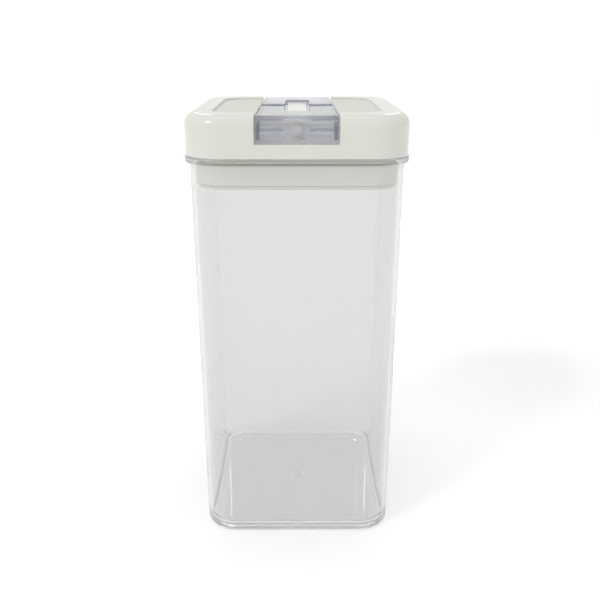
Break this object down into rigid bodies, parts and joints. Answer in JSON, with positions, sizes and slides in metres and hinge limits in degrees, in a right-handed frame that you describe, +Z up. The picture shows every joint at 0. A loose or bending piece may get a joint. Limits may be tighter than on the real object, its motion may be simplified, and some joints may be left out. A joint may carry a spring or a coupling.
{
  "type": "storage canister",
  "caption": "Tall square clear storage canister with a white flip-lock lid: clear wings raise a bridge whose plate squeezes the lid's gasket against the wall.",
  "frame": {"origin": "centre of the face the canister stands on", "axes": "+Z up through the mouth; +X to the right; the front, where one wing's face shows, is -Y"},
  "size_m": [0.1062, 0.1062, 0.223],
  "materials": {
    "clear_body": "clear moulded plastic, polished, faintly blue where it is thick",
    "clear_wing": "clear moulded plastic, polished, blue-grey through its thickness",
    "white_lid": "glossy moulded white plastic with fine-grained sunk panels",
    "white_plate": "satin moulded white plastic",
    "white_silicone": "matt translucent white silicone",
    "seal_rubber": "matt silicone",
    "steel": "stainless steel wire and pin stock"
  },
  "bodies": {
    "canister": {"canister_body": "clear_body"},
    "lid": {"lid_cover": "white_lid", "lid_base": "white_lid", "gasket": "white_silicone", "return_spring_front": "steel", "return_spring_rear": "steel", "post_seal_front": "seal_rubber", "post_seal_rear": "seal_rubber", "cover_screw_1": "steel", "cover_screw_2": "steel", "cover_screw_3": "steel", "cover_screw_4": "steel"},
    "plate": {"pull_bridge": "white_lid", "pressure_plate": "white_plate", "hinge_pin_front": "steel", "hinge_pin_rear": "steel", "post_screw_front": "steel", "post_screw_rear": "steel"},
    "wing_front": {"wing_front": "clear_wing"},
    "wing_rear": {"wing_rear": "clear_wing"}
  },
  "joints": [
    {"name": "lid_lift", "type": "slide", "parent": "canister", "child": "lid", "axis": [0, 0, 1], "range_m": [0, 0.11]},
    {"name": "plate_drop", "type": "slide", "parent": "lid", "child": "plate", "axis": [0, 0, -1], "range_m": [0, 0.0025], "deforming": ["gasket", "return_spring_front", "return_spring_rear"]},
    {"name": "wing_front_turn", "type": "hinge", "parent": "plate", "child": "wing_front", "pos_m": [0, -0.0087, 0.2148], "axis": [-1, 0, 0], "range_deg": [0, 85]},
    {"name": "wing_rear_turn", "type": "hinge", "parent": "plate", "child": "wing_rear", "pos_m": [0, 0.0087, 0.2148], "axis": [1, 0, 0], "range_deg": [0, 85]}
  ],
  "couplings": [
    {"joint": "plate_drop", "follows": "wing_front_turn", "m_per_rad": 0.0016852},
    {"joint": "wing_rear_turn", "follows": "wing_front_turn", "ratio": 1}
  ]
}
